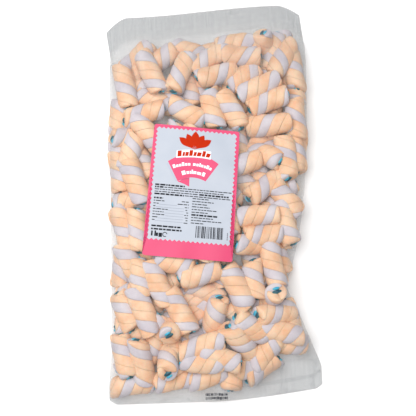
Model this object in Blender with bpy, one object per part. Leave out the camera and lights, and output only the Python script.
"""Sealed pillow bag of twisted marshmallow ropes, lying on its back with the label up.

Two solids: the filled bag, out to its film, and the paper label stuck on its face.
Metres, +Z up, +Y towards the bag's top seam, +X to the right as the label is read.
The origin is on the table under the middle of the bag.
"""

import math

import bmesh
import bpy

# Driving dimensions of the bag
BAG_WIDTH = 0.236
LEFT_REACH = 0.1170
RIGHT_REACH = 0.1205
BOTTOM_Y = -0.2358
TOP_Y = 0.2345
FILL_HEIGHT = 0.0450
SEAM_THICKNESS = 0.0012
SIDE_FOLD_HEIGHT = 0.014
GRID_COLUMNS = 30
GRID_ROWS = 54

# Sides: the film lies wider where it is flat, at both ends of the left side
LEFT_FLARE = 0.0052
LEFT_FLARE_START = 0.168
LEFT_FLARE_SPAN = 0.052
RIGHT_TAPER_START = 0.188
RIGHT_TAPER_SLOPE = 0.12

# Top seam: a long wave, uphill to the right; a corner fold is its width and its drop
TOP_SEAM_SWING = 0.0052
TOP_SEAM_PITCH = 0.38
TOP_LEFT_FOLD = (0.026, 0.0190)
TOP_RIGHT_FOLD = (0.026, 0.0130)
FOLD_ROUNDNESS = 1.6
TOP_EMPTY_BAND = 0.034

# Bottom seam: straight, then rising towards the right corner
BOTTOM_SEAM_RISE = 0.0125
BOTTOM_RISE_POWER = 1.45
BOTTOM_LEFT_FOLD = (0.010, 0.0050)
BOTTOM_RIGHT_FOLD = (0.008, 0.0040)
BOTTOM_SEAM_STRIP = 0.014

# Waist: where the film is drawn in on the right, and the empty film below it
WAIST_Y = -0.107
WAIST_DEPTH = 0.0370
WAIST_REACH_ABOVE = 0.092
WAIST_REACH_BELOW = 0.088
WAIST_POWER_BELOW = 1.1
WAIST_RADIUS = 0.004
EMPTY_CORNER_X = 0.0945
EMPTY_CORNER_POINT = (0.030, -0.216)
EMPTY_CORNER_SLOPE = math.radians(29.0)

# Roundness of the filled part: how far in from its edge the bag reaches full height
SIDE_ROUND = 0.036
END_ROUND = 0.040
UNDERSIDE_ROUND = 0.020
CROWN = 0.10
EDGE_MARGIN = 0.003

# Lumps where the marshmallows press against the film
LUMP_HEIGHT = 0.0022
LUMP_PITCH_ALONG = 0.034
LUMP_PITCH_ACROSS = 0.029
LUMP_TURN = math.radians(24.0)

# Paper label
LABEL_WIDTH = 0.102
LABEL_LENGTH = 0.152
LABEL_THICKNESS = 0.0005
LABEL_GAP = 0.0004
LABEL_CENTRE = (-0.0196, 0.0005)
LABEL_TURN = math.radians(-6.5)
LABEL_CORNER = 0.003
LABEL_COLUMNS = 8
LABEL_ROWS = 12
LABEL_CALM_MARGIN = 0.016

COLLECTION_NAME = "marshmallow_bag"


def clamp(value):
    """Limit a number to 0..1."""
    return min(1.0, max(0.0, value))


def smoothstep(value):
    """Ease from 0 to 1 with level ends."""
    t = clamp(value)
    return t * t * (3.0 - 2.0 * t)


def dome(distance, reach):
    """Quarter ellipse: 0 at the edge, 1 once the distance has passed the reach."""
    t = clamp(distance / reach)
    return math.sqrt(1.0 - (1.0 - t) ** 2)


def slope(distance, reach):
    """Parabola: 0 at the edge, easing to 1 once the distance has passed the reach."""
    t = clamp(distance / reach)
    return t * (2.0 - t)


def left_edge(y):
    """Left side of the film: straight, flaring out at both ends."""
    flare = smoothstep((abs(y) - LEFT_FLARE_START) / LEFT_FLARE_SPAN)
    return -LEFT_REACH - LEFT_FLARE * flare


def right_edge(y):
    """Right side of the film: drawn in at the waist and slightly towards the top."""
    away = math.hypot(y - WAIST_Y, WAIST_RADIUS) - WAIST_RADIUS
    if y > WAIST_Y:
        pull = math.exp(-away / WAIST_REACH_ABOVE)
    else:
        pull = clamp(1.0 - away / WAIST_REACH_BELOW) ** WAIST_POWER_BELOW
    taper = RIGHT_TAPER_SLOPE * max(0.0, y - RIGHT_TAPER_START)
    return RIGHT_REACH - WAIST_DEPTH * pull - taper


def folded_corner(across, fold):
    """Shift of a seam near a corner; across is the distance in from that corner."""
    width, shift = fold
    return shift * clamp(1.0 - across / width) ** FOLD_ROUNDNESS


def top_edge(x):
    """Top seam line."""
    swing = TOP_SEAM_SWING * math.sin(2.0 * math.pi * x / TOP_SEAM_PITCH)
    left = folded_corner(x + 0.5 * BAG_WIDTH, TOP_LEFT_FOLD)
    right = folded_corner(0.5 * BAG_WIDTH - x, TOP_RIGHT_FOLD)
    return TOP_Y + swing - left - right


def bottom_edge(x):
    """Bottom seam line."""
    rise = BOTTOM_SEAM_RISE * clamp(2.0 * x / BAG_WIDTH) ** BOTTOM_RISE_POWER
    left = folded_corner(x + 0.5 * BAG_WIDTH, BOTTOM_LEFT_FOLD)
    right = folded_corner(0.5 * BAG_WIDTH - x, BOTTOM_RIGHT_FOLD)
    return BOTTOM_Y + rise + left + right


def outline_point(u, v):
    """Place a grid point, u and v in -1..1, inside the bag's outline seen from above."""
    nominal_x = 0.5 * BAG_WIDTH * u
    low = bottom_edge(nominal_x)
    high = top_edge(nominal_x)
    y = low + (high - low) * 0.5 * (v + 1.0)
    near = left_edge(y)
    far = right_edge(y)
    return near + (far - near) * 0.5 * (u + 1.0), y


def side_distances(x, y):
    """Distance in from the filled part's left and right limits."""
    right_limit = right_edge(y) - EDGE_MARGIN
    if y < WAIST_Y:
        right_limit = min(right_limit, EMPTY_CORNER_X)
    return x - left_edge(y) - EDGE_MARGIN, right_limit - x


def end_fill(x, y):
    """How full the bag is towards its ends and its empty corner, 0..1."""
    from_top = top_edge(x) - TOP_EMPTY_BAND - y
    from_bottom = y - bottom_edge(x) - BOTTOM_SEAM_STRIP
    dx = x - EMPTY_CORNER_POINT[0]
    dy = y - EMPTY_CORNER_POINT[1]
    from_corner = dy * math.cos(EMPTY_CORNER_SLOPE) - dx * math.sin(EMPTY_CORNER_SLOPE)
    ends = slope(from_top, END_ROUND) * slope(from_bottom, END_ROUND)
    return ends * slope(from_corner, END_ROUND)


def label_frame(x, y):
    """Coordinates along the label's width and length."""
    dx = x - LABEL_CENTRE[0]
    dy = y - LABEL_CENTRE[1]
    cos_turn = math.cos(LABEL_TURN)
    sin_turn = math.sin(LABEL_TURN)
    return dx * cos_turn + dy * sin_turn, dy * cos_turn - dx * sin_turn


def lumps(x, y):
    """Soft swellings in two crossing rows, calmed under the stuck label."""
    along = x * math.cos(LUMP_TURN) + y * math.sin(LUMP_TURN)
    across = y * math.cos(LUMP_TURN) - x * math.sin(LUMP_TURN)
    wave_along = math.sin(2.0 * math.pi * along / LUMP_PITCH_ALONG)
    wave_across = math.sin(2.0 * math.pi * across / LUMP_PITCH_ACROSS)
    label_x, label_y = label_frame(x, y)
    outside = max(abs(label_x) - 0.5 * LABEL_WIDTH, abs(label_y) - 0.5 * LABEL_LENGTH)
    return LUMP_HEIGHT * wave_along * wave_across * smoothstep(outside / LABEL_CALM_MARGIN)


def seam_height(x, y):
    """Height of the fold along the bag's sides, falling to the table at both ends."""
    return SIDE_FOLD_HEIGHT * end_fill(x, y)


def top_height(x, y):
    """Upper film: a pillow with a slight crown and lumps."""
    from_left, from_right = side_distances(x, y)
    fill = dome(from_left, SIDE_ROUND) * dome(from_right, SIDE_ROUND) * end_fill(x, y)
    crown = 1.0 - CROWN * (2.0 * x / BAG_WIDTH) ** 2
    seam = seam_height(x, y)
    return SEAM_THICKNESS + seam + (FILL_HEIGHT * crown - seam + lumps(x, y)) * fill


def underside_height(x, y):
    """Lower film: flat on the table, curling up to the fold along both sides."""
    from_left, from_right = side_distances(x, y)
    flat = dome(from_left, UNDERSIDE_ROUND) * dome(from_right, UNDERSIDE_ROUND)
    return seam_height(x, y) * (1.0 - flat)


def make_material(name, colour, roughness):
    """A plain Principled material."""
    material = bpy.data.materials.new(name)
    material.use_nodes = True
    shader = material.node_tree.nodes["Principled BSDF"]
    shader.inputs["Base Color"].default_value = (*colour, 1.0)
    shader.inputs["Roughness"].default_value = roughness
    shader.inputs["Metallic"].default_value = 0.0
    return material


def add_object(name, mesh_data, material, collection):
    """Turn a bmesh into a smooth-shaded object of the collection."""
    bmesh.ops.recalc_face_normals(mesh_data, faces=mesh_data.faces)
    mesh = bpy.data.meshes.new(name)
    mesh_data.to_mesh(mesh)
    mesh_data.free()
    mesh.materials.append(material)
    mesh.shade_smooth()
    obj = bpy.data.objects.new(name, mesh)
    collection.objects.link(obj)
    return obj


def thicken_grid(grid, upper, lower):
    """Close a flat grid into a body: its faces take the upper height, a copy the lower."""
    tops = list(grid.verts)
    made = bmesh.ops.extrude_face_region(grid, geom=list(grid.faces), use_keep_orig=True)
    copies = [item for item in made["geom"] if isinstance(item, bmesh.types.BMVert)]
    for vert in copies:
        vert.co.z = lower(vert.co.x, vert.co.y)
    for vert in tops:
        vert.co.z = upper(vert.co.x, vert.co.y)


def build_bag(collection):
    """The filled bag out to its film."""
    grid = bmesh.new()
    bmesh.ops.create_grid(grid, x_segments=GRID_COLUMNS, y_segments=GRID_ROWS, size=1.0)
    for vert in grid.verts:
        vert.co.x, vert.co.y = outline_point(vert.co.x, vert.co.y)
    thicken_grid(grid, top_height, underside_height)
    film = make_material("film", (0.86, 0.80, 0.74), 0.18)
    return add_object("bag", grid, film, collection)


def build_label(collection):
    """The label: a rounded sheet that follows the bag's face."""
    grid = bmesh.new()
    bmesh.ops.create_grid(grid, x_segments=LABEL_COLUMNS, y_segments=LABEL_ROWS, size=0.5)
    for vert in grid.verts:
        vert.co.x *= LABEL_WIDTH
        vert.co.y *= LABEL_LENGTH
    corners = [vert for vert in grid.verts if len(vert.link_edges) == 2]
    bmesh.ops.bevel(grid, geom=corners, offset=LABEL_CORNER, segments=3, affect="VERTICES")
    cos_turn = math.cos(LABEL_TURN)
    sin_turn = math.sin(LABEL_TURN)
    for vert in grid.verts:
        across, along = vert.co.x, vert.co.y
        vert.co.x = LABEL_CENTRE[0] + across * cos_turn - along * sin_turn
        vert.co.y = LABEL_CENTRE[1] + across * sin_turn + along * cos_turn

    def lower(x, y):
        return top_height(x, y) + LABEL_GAP

    def upper(x, y):
        return lower(x, y) + LABEL_THICKNESS

    thicken_grid(grid, upper, lower)
    paper = make_material("label_paper", (0.82, 0.84, 0.88), 0.45)
    return add_object("label", grid, paper, collection)


def main():
    """Clear the scene and build both pieces."""
    for obj in list(bpy.data.objects):
        bpy.data.objects.remove(obj, do_unlink=True)
    collection = bpy.data.collections.new(COLLECTION_NAME)
    bpy.context.scene.collection.children.link(collection)
    build_bag(collection)
    build_label(collection)


main()
